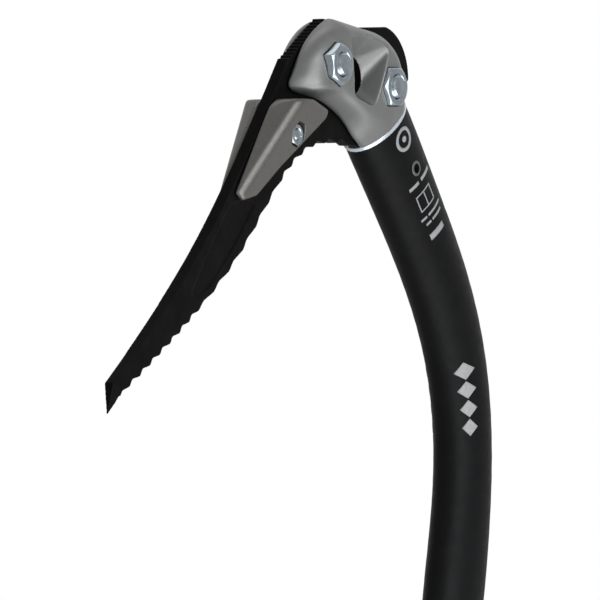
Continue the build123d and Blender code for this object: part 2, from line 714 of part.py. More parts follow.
hand_rest_top = flange_bottom + 0.5
hand_rest_bottom = hand_rest_top + hand_rest_height
with BuildPart() as hand_rest:
    with BuildSketch(handle.offset(-hand_rest_top)):
        Ellipse(handle_width / 2 + 0.6, handle_depth / 2 + 0.6)
    extrude(amount=-hand_rest_height)
    # the hook reaches forward and up under the little finger
    with BuildSketch(handle_side):
        with BuildLine():
            Line((-8.0, -hand_rest_bottom), (-8.0, -hand_rest_top))
            Line((-8.0, -hand_rest_top), (-13.5, -hand_rest_top))
            ThreePointArc(
                (-13.5, -hand_rest_top), (-27.0, -hand_rest_top - 5.0), (-39.5, -hand_rest_top + 4.0)
            )
            ThreePointArc(
                (-39.5, -hand_rest_top + 4.0), (-44.0, -hand_rest_top + 4.2),
                (-45.0, -hand_rest_top - 0.5),
            )
            Spline(
                (-45.0, -hand_rest_top - 0.5), (-30.0, -hand_rest_top - 12.0), (-8.0, -hand_rest_bottom)
            )
        make_face()
    extrude(amount=8.0, both=True)
    with BuildSketch(handle.offset(-hand_rest_top)):
        Rectangle(spike_width + 2 * slide_clearance, spike_thickness + 2 * slide_clearance)
    extrude(amount=-through, mode=Mode.SUBTRACT)
    with BuildSketch(handle_side):
        with Locations((0, -screw_depth)):
            Circle(screw_radius + bolt_clearance)
    extrude(amount=through, both=True, mode=Mode.SUBTRACT)
    # seats for the screw's head on the left and the nut on the right
    with BuildSketch(handle_side.offset(5.2)):
        with Locations((0, -screw_depth)):
            Circle(3.9)
    extrude(amount=through, mode=Mode.SUBTRACT)
    with BuildSketch(handle_side.offset(-5.2)):
        with Locations((0, -screw_depth)):
            RegularPolygon(4.2, 6)
    extrude(amount=-through, mode=Mode.SUBTRACT)
hand_rest.part.label = "hand_rest"
export_step(hand_rest.part, "parts/hand_rest.step")

with BuildPart() as hand_rest_screw:
    with BuildSketch(handle_side.offset(5.2)):
        with Locations((0, -screw_depth)):
            Circle(3.5)
    extrude(amount=4.0)
    with BuildSketch(handle_side.offset(5.2)):
        with Locations((0, -screw_depth)):
            Circle(screw_radius)
    extrude(amount=-14.0)
    with BuildSketch(handle_side.offset(9.2)):
        with Locations((0, -screw_depth)):
            RegularPolygon(1.7, 6)
    extrude(amount=-2.2, mode=Mode.SUBTRACT)
hand_rest_screw.part.label = "hand_rest_screw"
export_step(hand_rest_screw.part, "parts/hand_rest_screw.step")

with BuildPart() as hand_rest_nut:
    with BuildSketch(handle_side.offset(-5.2)):
        with Locations((0, -screw_depth)):
            RegularPolygon(4.0, 6)
            Circle(screw_radius + thread_clearance, mode=Mode.SUBTRACT)
    extrude(amount=-3.2)
hand_rest_nut.part.label = "hand_rest_nut"
export_step(hand_rest_nut.part, "parts/hand_rest_nut.step")
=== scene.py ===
import json
from math import cos, hypot, pi, radians, sin, tan

import bmesh
import bpy
import numpy as np
from mathutils import Matrix, Vector
from mathutils.bvhtree import BVHTree

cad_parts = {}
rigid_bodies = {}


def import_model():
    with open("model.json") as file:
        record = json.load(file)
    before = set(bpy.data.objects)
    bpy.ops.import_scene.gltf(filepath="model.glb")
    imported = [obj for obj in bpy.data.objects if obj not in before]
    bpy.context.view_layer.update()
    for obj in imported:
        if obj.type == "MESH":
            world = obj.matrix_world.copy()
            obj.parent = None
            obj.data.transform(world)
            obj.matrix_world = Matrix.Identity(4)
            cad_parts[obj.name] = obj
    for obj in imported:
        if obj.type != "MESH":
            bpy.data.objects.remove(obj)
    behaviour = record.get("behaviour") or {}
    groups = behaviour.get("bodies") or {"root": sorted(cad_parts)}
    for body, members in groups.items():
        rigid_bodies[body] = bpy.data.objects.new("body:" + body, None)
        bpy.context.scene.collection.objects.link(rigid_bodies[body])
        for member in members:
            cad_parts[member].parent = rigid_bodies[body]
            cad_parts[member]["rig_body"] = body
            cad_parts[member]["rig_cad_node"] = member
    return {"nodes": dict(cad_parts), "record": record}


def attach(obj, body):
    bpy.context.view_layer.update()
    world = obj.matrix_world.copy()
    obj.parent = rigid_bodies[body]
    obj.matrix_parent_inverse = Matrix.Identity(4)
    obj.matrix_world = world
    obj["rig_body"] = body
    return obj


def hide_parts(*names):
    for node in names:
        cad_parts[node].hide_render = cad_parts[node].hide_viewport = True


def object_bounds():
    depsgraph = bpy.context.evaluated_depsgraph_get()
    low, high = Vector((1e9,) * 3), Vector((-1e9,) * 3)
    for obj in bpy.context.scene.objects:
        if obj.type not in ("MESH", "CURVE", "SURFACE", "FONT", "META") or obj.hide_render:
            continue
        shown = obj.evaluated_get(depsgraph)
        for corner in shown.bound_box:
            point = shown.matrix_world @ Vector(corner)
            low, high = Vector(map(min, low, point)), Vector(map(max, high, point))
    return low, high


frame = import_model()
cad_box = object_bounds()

# Ice axe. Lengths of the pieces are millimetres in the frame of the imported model, and are
# turned into metres where a mesh is made. -Y is the left side, with the nuts.
MM = 0.001
LEFT, RIGHT = -1, 1
THROUGH = 30.0           # further from the middle plane than any surface that a cut passes
ROUND_STEPS = 96         # corners of a round loop
EDGE = "edge_wear"       # how sharply a softened surface turns at each corner of its mesh
nodes = frame["nodes"]
scene = bpy.context.scene


# ---- Materials ----------------------------------------------------------------------
def ramp(tree, source, stops):
    """A colour ramp fed by a socket. stops are (position, grey or colour)."""
    node = tree.nodes.new("ShaderNodeValToRGB")
    tree.links.new(source, node.inputs["Fac"])
    elements = node.color_ramp.elements
    while len(elements) < len(stops):
        elements.new(0.5)
    for element, (position, value) in zip(elements, stops):
        element.position = position
        colour = (value, value, value) if isinstance(value, (int, float)) else value
        element.color = (*colour, 1.0)
    return node.outputs["Color"]


def noise(tree, size_mm, detail, stretch=None):
    """Noise whose features are about size_mm across, in the object's own space. stretch is a
    rotation and a scale of that space."""
    place = tree.nodes.new("ShaderNodeTexCoord").outputs["Object"]
    if stretch:
        mapping = tree.nodes.new("ShaderNodeMapping")
        mapping.inputs["Rotation"].default_value = stretch[0]
        mapping.inputs["Scale"].default_value = stretch[1]
        tree.links.new(place, mapping.inputs["Vector"])
        place = mapping.outputs["Vector"]
    node = tree.nodes.new("ShaderNodeTexNoise")
    node.inputs["Scale"].default_value = 1 / (size_mm * MM)
    node.inputs["Detail"].default_value = detail
    tree.links.new(place, node.inputs["Vector"])
    return node.outputs["Fac"]


def mix(tree, factor, first, second, blend="MIX"):
    """A colour between two colours, each given as a socket, a grey or a colour."""
    node = tree.nodes.new("ShaderNodeMix")
    node.data_type = "RGBA"
    node.blend_type = blend
    factor_in, first_in, second_in = node.inputs[0], node.inputs[6], node.inputs[7]
    for socket, value in ((factor_in, factor), (first_in, first), (second_in, second)):
        if isinstance(value, bpy.types.NodeSocket):
            tree.links.new(value, socket)
        elif isinstance(value, (int, float)):
            socket.default_value = value
        else:
            socket.default_value = (*value, 1.0)
    return node.outputs[2]


ROUGH_SPREAD = 0.06      # how far the roughness smears round its middle value


def finish(name, colour, rough, metallic=0.0, mottle=0.12, mottle_size=6.0, grain=0.3,
           bump=0.012, specular=0.5, sheen=0.0, speckle=None, wear=None, brushed=None):
    """A surface with mottled colour, a fine grain in its relief, and worn edges.
    rough is the roughness, grain the size of the relief in mm and bump its height in mm.
    speckle is (share of bare paint, colour of the flakes), wear is (amount, worn colour)."""
    material = bpy.data.materials.new(name)
    material.use_nodes = True
    tree = material.node_tree
    shader = tree.nodes["Principled BSDF"]
    shader.inputs["Metallic"].default_value = metallic
    shader.inputs["Specular IOR Level"].default_value = specular
    shader.inputs["Sheen Weight"].default_value = sheen
    cloud = noise(tree, mottle_size, 4.0)
    dark = tuple(channel * (1 - mottle) for channel in colour)
    light = tuple(channel * (1 + mottle) for channel in colour)
    base = ramp(tree, cloud, ((0.3, dark), (0.7, light)))
    relief = noise(tree, grain, 3.0, brushed)
    if speckle:
        share, tint = speckle
        dots = ramp(tree, noise(tree, grain * 1.3, 1.0), ((share, 0.0), (share + 0.05, 1.0)))
        base = mix(tree, dots, base, tint)
    if wear:
        amount, tint = wear
        edge = tree.nodes.new("ShaderNodeAttribute")
        edge.attribute_name = EDGE
        line = ramp(tree, edge.outputs["Fac"], ((0.03 / amount, 0.0), (0.10 / amount, 1.0)))
        broken = ramp(tree, noise(tree, 2.5, 3.0), ((0.3, 0.25), (0.6, 0.8)))
        base = mix(tree, mix(tree, 1.0, line, broken, "MULTIPLY"), base, tint)
    tree.links.new(base, shader.inputs["Base Color"])
    smear = ramp(tree, noise(tree, mottle_size * 0.4, 3.0, brushed),
                 ((0.25, rough - ROUGH_SPREAD), (0.75, rough + ROUGH_SPREAD)))
    tree.links.new(smear, shader.inputs["Roughness"])
    height = tree.nodes.new("ShaderNodeBump")
    height.inputs["Distance"].default_value = bump * MM
    height.inputs["Strength"].default_value = 1.0
    tree.links.new(relief, height.inputs["Height"])
    tree.links.new(height.outputs["Normal"], shader.inputs["Normal"])
    return material


BRUSH = ((0.0, 0.0, 0.0), (1.0, 0.12, 1.0))      # grain drawn out across the tool
materials = {
    "shaft": finish("shaft_paint", (0.0042, 0.0043, 0.0047), 0.46, mottle=0.15, grain=0.20,
                    bump=0.014, specular=0.085, speckle=(0.66, (0.010, 0.0105, 0.0115))),
    "collar": finish("collar_polish", (0.62, 0.68, 0.74), 0.28, metallic=0.6, mottle=0.05,
                     grain=0.3, bump=0.003),
    "head": finish("head_paint", (0.195, 0.198, 0.195), 0.38, metallic=0.6, mottle=0.04,
                   grain=0.16, bump=0.006, wear=(0.7, (0.36, 0.37, 0.375)),
                   speckle=(0.64, (0.26, 0.26, 0.255))),
    "spacer": finish("spacer_metal", (0.30, 0.30, 0.31), 0.4, metallic=1.0),
    "pin": finish("pin_metal", (0.13, 0.13, 0.135), 0.42, metallic=0.6, grain=0.2, bump=0.004,
                  wear=(1.0, (0.30, 0.30, 0.30))),
    "pick_steel": finish("pick_coating", (0.0052, 0.0052, 0.0050), 0.34, mottle=0.2, grain=0.3,
                         bump=0.010, specular=0.02, wear=(0.7, (0.014, 0.014, 0.014))),
    "zinc_steel": finish("zinc_plate", (0.42, 0.48, 0.52), 0.20, metallic=1.0, mottle=0.10,
                         mottle_size=1.2, grain=0.6, bump=0.003, brushed=BRUSH),
    "weight": finish("weight_paint", (0.128, 0.123, 0.115), 0.31, metallic=0.6, mottle=0.04,
                     grain=0.16, bump=0.008, speckle=(0.62, (0.17, 0.165, 0.155))),
    "grip_rubber": finish("grip_rubber", (0.008, 0.008, 0.0088), 0.66, mottle=0.2, grain=0.25,
                          bump=0.02, sheen=0.03, specular=0.16),
    "rest_plastic": finish("rest_plastic", (0.0095, 0.0095, 0.0105), 0.46, mottle=0.1,
                           grain=0.35, bump=0.02, specular=0.22,
                           wear=(1.0, (0.03, 0.03, 0.032))),
    "lever_plastic": finish("lever_plastic", (0.16, 0.16, 0.17), 0.42, mottle=0.06, grain=0.35,
                            bump=0.015, wear=(1.0, (0.3, 0.3, 0.31))),
    "pad_rubber": finish("pad_rubber", (0.02, 0.02, 0.02), 0.8, grain=0.3, bump=0.02),
    "plug": finish("plug_anodised", (0.07, 0.07, 0.075), 0.38, metallic=0.9, grain=0.25,
                   bump=0.004, wear=(1.0, (0.35, 0.35, 0.36))),
    "spike_steel": finish("spike_satin", (0.30, 0.30, 0.305), 0.34, metallic=1.0, mottle=0.1,
                          grain=0.35, bump=0.008, brushed=BRUSH, wear=(1.0, (0.6, 0.6, 0.6))),
}
mark_paint = finish("mark_print", (0.27, 0.275, 0.28), 0.5, mottle=0.1, mottle_size=1.2,
                    grain=0.2, bump=0.004)
slot_of = {row["node"]: row["material_slot"] for row in frame["record"]["subparts"]}
for node_name, node in nodes.items():
    node.data.materials.clear()
    node.data.materials.append(materials[slot_of[node_name]])


# ---- Mesh helpers -------------------------------------------------------------------
def link(name, mesh):
    """A new object in the scene."""
    piece = bpy.data.objects.new(name, mesh)
    scene.collection.objects.link(piece)
    return piece


def solid(name, corners, faces):
    """An object from corners in mm and faces, with its faces turned outwards."""
    mesh = bpy.data.meshes.new(name)
    mesh.from_pydata([Vector(corner) * MM for corner in corners], [], faces)
    work = bmesh.new()
    work.from_mesh(mesh)
    bmesh.ops.remove_doubles(work, verts=work.verts, dist=1e-7)
    bmesh.ops.recalc_face_normals(work, faces=work.faces)
    work.to_mesh(mesh)
    work.free()
    return link(name, mesh)


def rings(name, loops, closed=False):
    """A skin through loops with the same number of corners, capped unless it is closed."""
    count = len(loops[0])
    corners = [corner for loop in loops for corner in loop]
    faces = []
    spans = len(loops) if closed else len(loops) - 1
    for row in range(spans):
        below, above = row * count, ((row + 1) % len(loops)) * count
        for i in range(count):
            j = (i + 1) % count
            faces.append((below + i, below + j, above + j, above + i))
    if not closed:
        faces.append(tuple(reversed(range(count))))
        faces.append(tuple(range((len(loops) - 1) * count, len(loops) * count)))
    return solid(name, corners, faces)


def settle(piece, *steps):
    """Runs modifiers, given as (type, settings), and keeps their result as the mesh."""
    for kind, settings in steps:
        modifier = piece.modifiers.new(kind, kind)
        for key, value in settings.items():
            setattr(modifier, key, value)
    shape = piece.evaluated_get(bpy.context.evaluated_depsgraph_get())
    old = piece.data
    piece.data = bpy.data.meshes.new_from_object(shape)
    piece.modifiers.clear()
    bpy.data.meshes.remove(old)
    return piece


def combine(piece, operation, *others):
    """Cuts other solids out of a piece, or joins them to it, and uses them up."""
    for other in others:
        settings = {"object": other, "operation": operation, "solver": "EXACT"}
        settle(piece, ("BOOLEAN", settings))
        bpy.data.objects.remove(other)


def soften(piece, voxel, rounds):
    """Rebuilds the surface at voxel mm and rubs its edges round."""
    rebuild = {"mode": "VOXEL", "voxel_size": voxel * MM, "use_smooth_shade": True}
    rub = {"factor": 0.5, "iterations": rounds}
    return settle(piece, ("REMESH", rebuild), ("SMOOTH", rub))


def stand_for(piece, *replaced):
    """Puts a piece on the body of the nodes that it replaces, in their material."""
    first = replaced[0]
    piece.data.materials.clear()
    piece.data.materials.append(materials[slot_of[first]])
    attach(piece, nodes[first]["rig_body"])
    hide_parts(*replaced)
    return piece


def paint_hollow_shade(piece, place, radius):
    """Painted shade: the black coating's colour on the faces within radius mm of an axis across
    the tool, on the wall of a hole and on the bottom of a dimple, where shade falls."""
    piece.data.materials.append(materials["pick_steel"])
    for face in piece.data.polygons:
        middle = face.center / MM
        if hypot(middle.x - place[0], middle.z - place[1]) < radius:
            face.material_index = 1


def note_edges(piece):
    """Writes how sharply the surface turns outwards at each corner, for the paint's wear."""
    mesh = piece.data
    count = len(mesh.vertices)
    place, normal = np.empty(count * 3), np.empty(count * 3)
    mesh.vertices.foreach_get("co", place)
    mesh.vertices.foreach_get("normal", normal)
    place, normal = place.reshape(-1, 3), normal.reshape(-1, 3)
    ends = np.empty(len(mesh.edges) * 2, np.int64)
    mesh.edges.foreach_get("vertices", ends)
    first, second = ends.reshape(-1, 2).T
    links = np.bincount(ends, minlength=count).astype(float)

    def beside(values):
        """The mean over each corner's neighbours."""
        total = np.zeros_like(values)
        for a, b in ((first, second), (second, first)):
            for axis in range(values.shape[1]):
                total[:, axis] += np.bincount(a, values[b, axis], count)
        return total / links[:, None]

    span = np.linalg.norm(place[first] - place[second], axis=1).mean()
    turn = -((beside(place) - place) * normal).sum(1, keepdims=True) / span
    for _ in range(2):
        turn = beside(turn)
    worn = mesh.attributes.new(EDGE, "FLOAT", "POINT")
    worn.data.foreach_set("value", turn[:, 0].astype(np.float32))
    return piece


def softened_node(name, node, voxel, rounds):
    """A piece in the shape of a node, with its edges rubbed round."""
    piece = soften(link(name, nodes[node].data.copy()), voxel, rounds)
    stand_for(note_edges(piece), node)


def prism(name, outline, y_from, y_to):
    """A prism across the tool. The outline is drawn in X and Z."""
    return rings(name, [[(x, y, z) for x, z in outline] for y in (y_from, y_to)])


def around(count=ROUND_STEPS):
    """Evenly spaced angles, in radians."""
    return [2 * pi * i / count for i in range(count)]


def polygon(centre, radius, count=ROUND_STEPS, turn=0.0):
    """Corners round a centre in X and Z, the first one at turn degrees."""
    angles = [radians(turn) + angle for angle in around(count)]
    return [(centre[0] + radius * cos(a), centre[1] + radius * sin(a)) for a in angles]


# ---- Head cheeks --------------------------------------------------------------------
HALF_PICK = 2.3          # half the thickness of the pick, which the cheeks lie against
NECK = Vector((23.0, 0.0, -14.9))
NECK_TILT = radians(37.8)
NECK_UP = Vector((-sin(NECK_TILT), 0.0, cos(NECK_TILT)))
NECK_BACK = Vector((cos(NECK_TILT), 0.0, sin(NECK_TILT)))
TUBE_FORE_AFT, TUBE_ACROSS = 31.5, 20.0
BOLT_REACH, BOLT_TILT = 17.7, radians(-10.7)
REAR_BOLT = (BOLT_REACH * cos(BOLT_TILT), BOLT_REACH * sin(BOLT_TILT))
FRONT_BOLT = (-REAR_BOLT[0], -REAR_BOLT[1])
FRONT_TURN, REAR_TURN = 36.6, 1.0        # how far each M8 nut is turned, in degrees
M8_RADIUS, M8_FLATS, M8_NUT_SEAT, M8_HEAD_RADIUS, M8_HEAD_SEAT = 4.0, 13.0, 7.4, 6.5, 4.0
CLIP_HOLE = 6.75
# Outlines of a cheek in X and Z, from the front lower corner over the top to the neck and
# back: its thin lip at the pick, the turn of its side, and its crown.
lip = [
    (-35.9, -5.8), (-33.0, 2.2), (-27.1, 10.3), (-20.2, 15.8), (-12.3, 20.0), (4.0, 17.4),
    (20.0, 14.8), (29.5, 5.5), (36.3, -7.9), (12.9, -26.1), (4.5, -21.8), (-4.5, -14.6),
    (-18.0, -9.0),
]
shoulder = [
    (-30.6, -5.2), (-28.4, 3.6), (-24.8, 9.9), (-19.0, 14.8), (-11.6, 17.6), (4.0, 15.8),
    (17.5, 13.0), (26.5, 5.0), (30.0, -12.8), (19.2, -21.2), (7.5, -18.3), (-3.5, -12.6),
    (-16.0, -7.2),
]
crown = [
    (-25.2, -4.6), (-21.4, 2.4), (-18.6, 7.4), (-15.4, 11.8), (-11.0, 14.6), (4.0, 13.4),
    (15.0, 10.5), (22.5, 3.5), (25.0, -8.0), (14.0, -14.5), (5.5, -13.5), (-4.0, -10.0),
    (-14.5, -5.0),
]
# The right side is flatter at the front.
right_lip = [(-35.0, -5.8), (-32.5, 2.8), (-27.3, 9.9), (-20.2, 15.6), (-11.8, 19.2)] + lip[5:]
right_shoulder = [
    (-28.4, -4.0), (-25.6, 3.0), (-21.0, 9.6), (-16.0, 13.8), (-10.6, 16.6), *shoulder[5:],
]
right_crown = [
    (-24.0, -1.0), (-22.0, 4.0), (-18.4, 8.6), (-14.4, 11.8), (-10.0, 12.8), (4.0, 12.8),
    *crown[6:],
]
SHARP = (4, 8, 9)        # the corners of an outline that stay corners
OUTLINE_STEPS = 8        # points from one corner of an outline to the next
SIDE_STEPS = 8           # loops from the turn of the lip to the crown
DOME = ((0.75, 0.45), (0.45, 0.75), (0.15, 0.85))    # loops on the crown: share of it, rise
SCOOP_BLUNT, SCOOP_RIM = 2.4, 6.9
SCOOP_CORNER_STEPS = 5
SCOOP_REACH = 1.35       # how far the cut goes on past the scoop's mouth
scoop_corners = [
    Vector(corner)
    for corner in ((-10.2, 14.6), (1.5, 15.0), (16.2, 11.2), (5.0, -10.8), (-7.2, -7.4))
]


def side_loop(outline, width, side):
    """Points on a smooth outline at a distance from the middle plane."""
    count = len(outline)
    points = [Vector(corner) for corner in outline]
    loop = []
    for i, start in enumerate(points):
        following = (i + 1) % count
        end, after = points[following], points[(i + 2) % count]
        leave = (end - start) if i in SHARP else (end - points[i - 1]) / 2
        arrive = (end - start) if following in SHARP else (after - start) / 2
        for step in range(OUTLINE_STEPS):
            t = step / OUTLINE_STEPS
            place = (
                start * (2 * t**3 - 3 * t**2 + 1) + leave * (t**3 - 2 * t**2 + t)
                + end * (3 * t**2 - 2 * t**3) + arrive * (t**3 - t**2)
            )
            loop.append((place.x, side * width, place.y))
    return loop


def between(t, first, middle, last):
    """A smooth curve through three values, at t from 0 to 1."""
    return first * (2 * t - 1) * (t - 1) + middle * 4 * t * (1 - t) + last * t * (2 * t - 1)


def ellipse_loop(along, fore_aft, across):
    """An ellipse across the neck, at a distance up it."""
    middle = NECK + NECK_UP * along
    return [
        tuple(middle + NECK_BACK * (fore_aft / 2 * cos(a)) + Vector((0, across / 2 * sin(a), 0)))
        for a in around()
    ]


def scoop(side, depth, mouth_width):
    """The hollow that opens from the rim of the clip hole to the blunted scoop corners."""
    mouth = []
    for i, corner in enumerate(scoop_corners):
        last, following = scoop_corners[i - 1], scoop_corners[(i + 1) % len(scoop_corners)]
        start = corner + (last - corner).normalized() * SCOOP_BLUNT
        end = corner + (following - corner).normalized() * SCOOP_BLUNT
        for step in range(SCOOP_CORNER_STEPS + 1):
            t = step / SCOOP_CORNER_STEPS
            mouth.append(start * (1 - t) ** 2 + corner * 2 * t * (1 - t) + end * t * t)
    # each way out of the hole goes to the mouth's point that lies furthest along it
    ways = [Vector((cos(angle), sin(angle))) for angle in around()]
    nearest = [max(range(len(mouth)), key=lambda k: way.dot(mouth[k])) for way in ways]
    loops = [[], [], []]
    for way, k in zip(ways, nearest):
        shared = [w for w, other in zip(ways, nearest) if other == k]
        facing = sum(shared, Vector((0.0, 0.0))).normalized()
        wide = (facing * SCOOP_RIM).lerp(mouth[k], SCOOP_REACH)
        places = (way * SCOOP_RIM, mouth[k], wide)
        for loop, place, t in zip(loops, places, (0.0, 1.0, SCOOP_REACH)):
            loop.append((place.x, side * (depth + (mouth_width - depth) * t), place.y))
    return rings("scoop", loops)


def cheek(name, node, side, widths, outlines, seat, pockets, scoop_depth):
    """A forging that swells from its lip to its crown, with the neck joined to it and the
    scoop, the bolt holes and their pockets cut out. pockets are polygons in X and Z."""
    lip_outline, _, crown_outline = outlines
    loops = [side_loop(lip_outline, HALF_PICK, side)]
    for step in range(SIDE_STEPS + 1):
        t = step / SIDE_STEPS
        outline = [
            (between(t, a[0], b[0], c[0]), between(t, a[1], b[1], c[1]))
            for a, b, c in zip(*outlines)
        ]
        loops.append(side_loop(outline, between(t, *widths), side))
    # the crown is a low dome
    corners = [Vector(corner) for corner in crown_outline]
    centre = sum(corners, Vector((0.0, 0.0))) / len(corners)
    for share, rise in DOME:
        inner = [tuple(centre.lerp(corner, share)) for corner in corners]
        loops.append(side_loop(inner, widths[2] + rise, side))
    piece = rings(name, loops)
    neck = rings("neck", [
        ellipse_loop(-2.0, TUBE_FORE_AFT, TUBE_ACROSS),
        ellipse_loop(8.0, TUBE_FORE_AFT - 1.5, TUBE_ACROSS - 0.6),
    ])
    combine(piece, "UNION", neck)
    soften(piece, 0.45, 80)
    combine(piece, "DIFFERENCE", scoop(side, scoop_depth, widths[2] + 0.6))
    soften(piece, 0.35, 9)
    cutters = []
    for place, pocket in zip((FRONT_BOLT, REAR_BOLT), pockets):
        cutters.append(prism("pocket", pocket, side * seat, side * THROUGH))
        cutters.append(prism("bolt_hole", polygon(place, 4.2, 64), 0.0, side * THROUGH))
    cutters.append(prism("clip_hole", polygon((0.0, 0.0), CLIP_HOLE), 0.0, side * THROUGH))
    other_side = [(-60, -60), (60, -60), (60, 60), (-60, 60)]
    cutters.append(prism("middle", other_side, side * HALF_PICK, -side * THROUGH))
    cutters.append(rings("under_collar", [
        ellipse_loop(0.0, 90.0, 60.0), ellipse_loop(-30.0, 90.0, 60.0),
    ]))
    combine(piece, "DIFFERENCE", *cutters)
    soften(piece, 0.28, 2)
    stand_for(note_edges(piece), node)
    # The clip hole's wall takes the black coating's colour as painted shade.
    paint_hollow_shade(piece, (0.0, 0.0), SCOOP_RIM)


hex_corner = M8_FLATS / 2 / cos(radians(30)) + 0.3
hex_pockets = [
    polygon(FRONT_BOLT, hex_corner, 6, FRONT_TURN), polygon(REAR_BOLT, hex_corner, 6, REAR_TURN),
]
round_pockets = [polygon(place, M8_HEAD_RADIUS + 0.3) for place in (FRONT_BOLT, REAR_BOLT)]
cheek("left_cheek_forging", "left_cheek", LEFT, (3.4, 8.7, 11.6), (lip, shoulder, crown),
      M8_NUT_SEAT, hex_pockets, 5.0)
cheek("right_cheek_forging", "right_cheek", RIGHT, (3.4, 6.8, 8.6),
      (right_lip, right_shoulder, right_crown), M8_HEAD_SEAT, round_pockets, 4.4)


# ---- Pick weights -------------------------------------------------------------------
WEIGHT_BOLT, WEIGHT_TURN = (-37.8, -21.0), 46.0
M4_RADIUS, M4_FLATS, M4_SEAT = 2.0, 7.0, 5.0
RIDGE_BEVEL = 1.35       # how deep the bevel cuts the ridge where the two faces meet
weight_outline = [
    (-43.6, -9.0), (-47.4, -11.5), (-50.0, -15.0), (-68.4, -41.4), (-65.2, -44.0), (-56.5, -42.3),
    (-44.5, -32.4), (-20.0, -15.3), (-19.5, -12.2), (-32.0, -8.8),
]


def weight(name, node, side):
    """A casting cut by an outer face and a front face, with a bevel where they meet."""
    piece = prism(name, weight_outline, side * HALF_PICK, side * 12.2)
    work = bmesh.new()
    work.from_mesh(piece.data)
    ridge_top, ridge_foot = Vector((-43.5, side * 11.6, -12.0)), Vector((-67.3, side * 5.5, -41.0))
    cuts = []
    for third in ((-24.0, side * 9.3, -14.5), (-54.8, side * 3.0, -22.0)):
        facing = (ridge_foot - ridge_top).cross(Vector(third) - ridge_top).normalized()
        cuts.append((ridge_top, facing if facing.y * side > 0 else -facing))
    bevel = (cuts[0][1] + cuts[1][1]).normalized()
    cuts.append((ridge_top - bevel * RIDGE_BEVEL, bevel))
    for place, facing in cuts:
        everything = work.verts[:] + work.edges[:] + work.faces[:]
        bmesh.ops.bisect_plane(
            work, geom=everything, plane_co=place * MM, plane_no=facing, clear_outer=True,
        )
        bmesh.ops.holes_fill(work, edges=[edge for edge in work.edges if edge.is_boundary])
    bmesh.ops.recalc_face_normals(work, faces=work.faces)
    work.to_mesh(piece.data)
    work.free()
    soften(piece, 0.3, 100)
    pocket = polygon(WEIGHT_BOLT, M4_FLATS / 2 / cos(radians(30)) + 0.7, 6, WEIGHT_TURN)
    other_side = [(-90, -60), (0, -60), (0, 10), (-90, 10)]
    combine(
        piece, "DIFFERENCE",
        prism("pocket", pocket, side * M4_SEAT, side * THROUGH),
        prism("bolt_hole", polygon(WEIGHT_BOLT, 2.2, 48), 0.0, side * THROUGH),
        prism("middle", other_side, side * HALF_PICK, -side * THROUGH),
    )
    soften(piece, 0.25, 2)
    stand_for(note_edges(piece), node)


weight("left_weight_casting", "left_pick_weight", LEFT)
weight("right_weight_casting", "right_pick_weight", RIGHT)

softened_node("pick_blade", "pick", 0.24, 6)
softened_node("collar_ring", "shaft_collar", 0.2, 2)


# ---- Fasteners ----------------------------------------------------------------------
THREAD_START, THREAD_RUN_IN = 2.0, 1.5   # where a thread begins, and over what it deepens
THREAD_ROWS = 14                         # loops to a turn of the thread


def turned(profile_of, place, side):
    """Loops round an axis across the tool. profile_of(angle) gives (radius, distance from the
    middle plane) pairs, from the inside round to the inside again."""
    angles = around()
    profiles = [profile_of(angle) for angle in angles]
    return [
        [
            (place[0] + profile[k][0] * cos(angle), side * profile[k][1],
             place[1] + profile[k][0] * sin(angle))
            for angle, profile in zip(angles, profiles)
        ]
        for k in range(len(profiles[0]))
    ]


def hex_profile(angle, turn, flats, seat, height, inner, dish):
    """Half section of a hex nut or head: its corners are turned down by a 30 degree cone."""
    sector = (angle - radians(turn)) % (pi / 3) - pi / 6
    edge = flats / 2 / cos(sector)
    face = flats / 2 * 0.95
    drop = max(0.0, (edge - face) * tan(radians(30)))
    top, bottom = seat + height, seat
    rim = 0.12
    return [
        (inner, bottom + 0.3), (inner + 0.3, bottom), (face, bottom),
        (edge - rim, bottom + drop * 0.6), (edge, bottom + drop + rim),
        (edge, top - drop - rim), (edge - rim, top - drop + rim * 0.3),
        (face + 0.05, top - 0.05), (face - 0.12, top), (inner + dish, top), (inner, top - dish),
    ]


def hex_nut(name, node, place, turn, radius, flats, seat, height):
    """A nut on the left of the tool."""
    def section(angle):
        return hex_profile(angle, turn, flats, seat, height, radius + 0.02, radius * 0.16)

    stand_for(rings(name, turned(section, place, LEFT), closed=True), node)


def socket_profile(angle, turn, head_radius, seat, height, socket):
    """Half section of a low round head with a hex socket."""
    sector = (angle - radians(turn)) % (pi / 3) - pi / 6
    wall = socket / 2 / cos(sector)
    top, rim = seat + height, 0.7
    socket_floor = seat + height * 0.25
    return [
        (0.02, socket_floor), (wall * 0.55, socket_floor), (wall, seat + height * 0.3),
        (wall, top - 0.35), (wall + 0.3, top), (head_radius - rim, top),
        (head_radius - rim * 0.3, top - rim * 0.3), (head_radius, top - rim),
        (head_radius, seat + 0.15), (head_radius - 0.15, seat), (0.02, seat),
    ]


